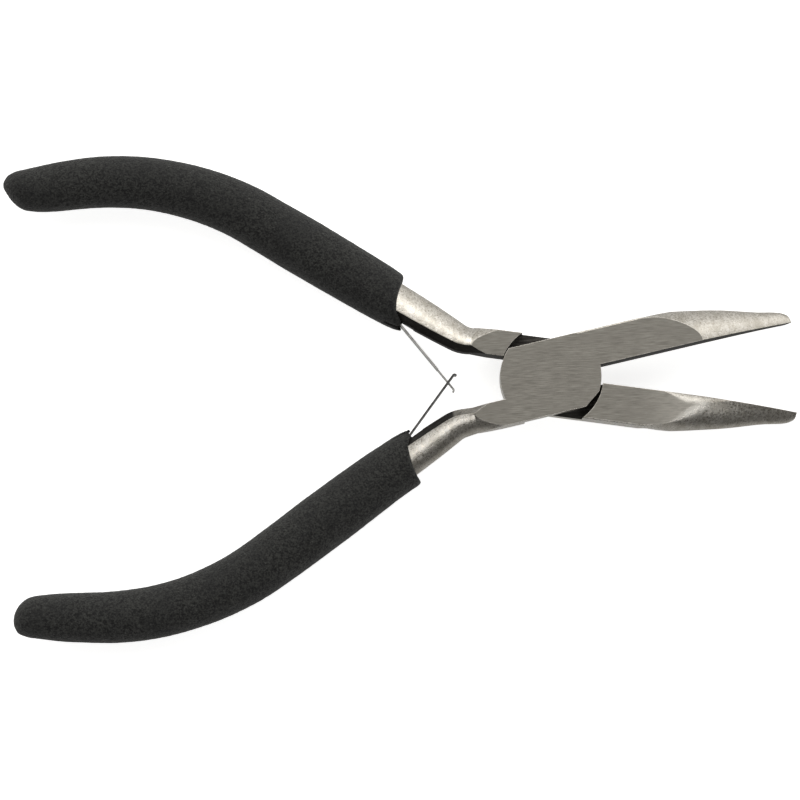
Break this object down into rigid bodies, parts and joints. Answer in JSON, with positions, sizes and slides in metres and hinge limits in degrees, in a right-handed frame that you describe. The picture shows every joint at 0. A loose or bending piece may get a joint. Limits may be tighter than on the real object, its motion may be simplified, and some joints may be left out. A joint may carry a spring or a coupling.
{
  "type": "needle nose pliers",
  "caption": "Small sprung pliers with bent needle noses, a riveted lap joint, crossed leaf springs and foam sleeve grips.",
  "frame": {"origin": "on the pivot's axis, where it meets the flat rear face of the joint", "axes": "+Z along the pivot's axis towards the front face, +X between the open jaws towards the tips, +Y across the tool on the side of the front half's jaw"},
  "size_m": [0.1269, 0.0783, 0.0105],
  "materials": {
    "forged_steel": "ground flat faces, fine forged texture on the rounds",
    "rivet_steel": "ground flush",
    "spring_steel": "tempered strip",
    "grip_foam": "matte closed-cell foam"
  },
  "bodies": {
    "front_arm": {"front_half": "forged_steel", "pivot_rivet": "rivet_steel", "lower_grip": "grip_foam", "lower_spring_rivet": "rivet_steel"},
    "rear_arm": {"rear_half": "forged_steel", "upper_grip": "grip_foam", "upper_spring_rivet": "rivet_steel"},
    "lower_leaf": {"lower_leaf_spring": "spring_steel"},
    "upper_leaf": {"upper_leaf_spring": "spring_steel"}
  },
  "joints": [
    {"name": "pivot", "type": "hinge", "parent": "front_arm", "child": "rear_arm", "pos_m": [0, 0, 0], "axis": [0, 0, 1], "range_deg": [-5, 20.8], "stiffness_Nm_per_rad": 0.8},
    {"name": "lower_leaf_flex", "type": "hinge", "parent": "front_arm", "child": "lower_leaf", "pos_m": [-0.0234, -0.00839, 0.0035], "axis": [0, 0, 1], "range_deg": [-20, 5]},
    {"name": "upper_leaf_flex", "type": "hinge", "parent": "rear_arm", "child": "upper_leaf", "pos_m": [-0.02399, 0.00989, 0.0035], "axis": [0, 0, 1], "range_deg": [-4, 16]}
  ],
  "couplings": [
    {"joint": "lower_leaf_flex", "follows": "pivot", "ratio": -0.95},
    {"joint": "upper_leaf_flex", "follows": "pivot", "ratio": 0.73}
  ]
}
